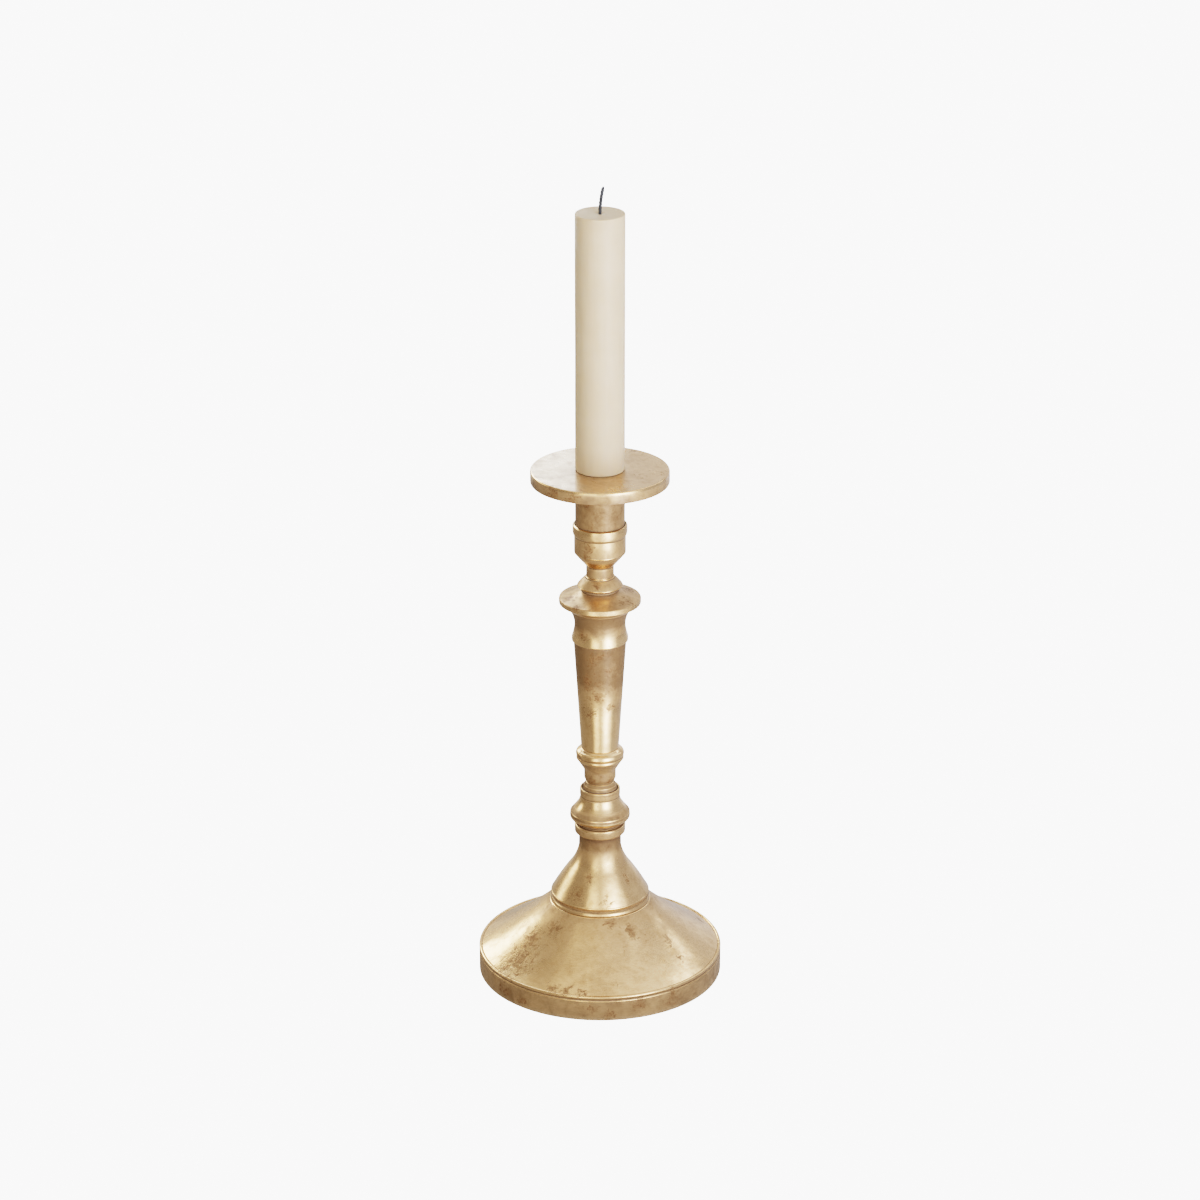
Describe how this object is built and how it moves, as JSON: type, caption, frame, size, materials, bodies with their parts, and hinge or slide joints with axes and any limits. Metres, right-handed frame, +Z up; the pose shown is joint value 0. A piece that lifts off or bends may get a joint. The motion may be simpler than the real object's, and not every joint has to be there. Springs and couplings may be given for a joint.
{
  "type": "candlestick",
  "caption": "Turned brass candlestick with a wide coned base, a stacked stem and a lift-out nozzle and drip pan that hold a candle.",
  "frame": {"origin": "centre of the felt underside, on the surface that the candlestick stands on", "axes": "+Z up along the turning axis, which is the length; +X is the side that the wick leans to"},
  "size_m": [0.1262, 0.1262, 0.4227],
  "materials": {
    "brass": "antiqued satin, with darker patches and small pits",
    "wax": "smooth cream wax",
    "wick": "braided cotton, charred dark",
    "steel": "zinc plated",
    "felt": "dense felt"
  },
  "bodies": {
    "stand": {"socket": "brass", "neck_flare": "brass", "saucer": "brass", "capital": "brass", "column": "brass", "column_foot": "brass", "lower_knop": "brass", "knop_ring": "brass", "bell": "brass", "base": "brass", "tie_rod": "steel", "rod_washer": "steel", "spring_washer": "steel", "rod_nut": "steel", "base_plate": "steel", "felt_pad": "felt"},
    "nozzle_and_pan": {"nozzle": "brass", "drip_pan": "brass"},
    "candle_and_wick": {"candle": "wax", "wick": "wick"}
  },
  "joints": [
    {"name": "nozzle_lift", "type": "slide", "parent": "stand", "child": "nozzle_and_pan", "axis": [0, 0, 1], "range_m": [0, 0.02]},
    {"name": "candle_lift", "type": "slide", "parent": "nozzle_and_pan", "child": "candle_and_wick", "axis": [0, 0, 1], "range_m": [0, 0.03]}
  ]
}
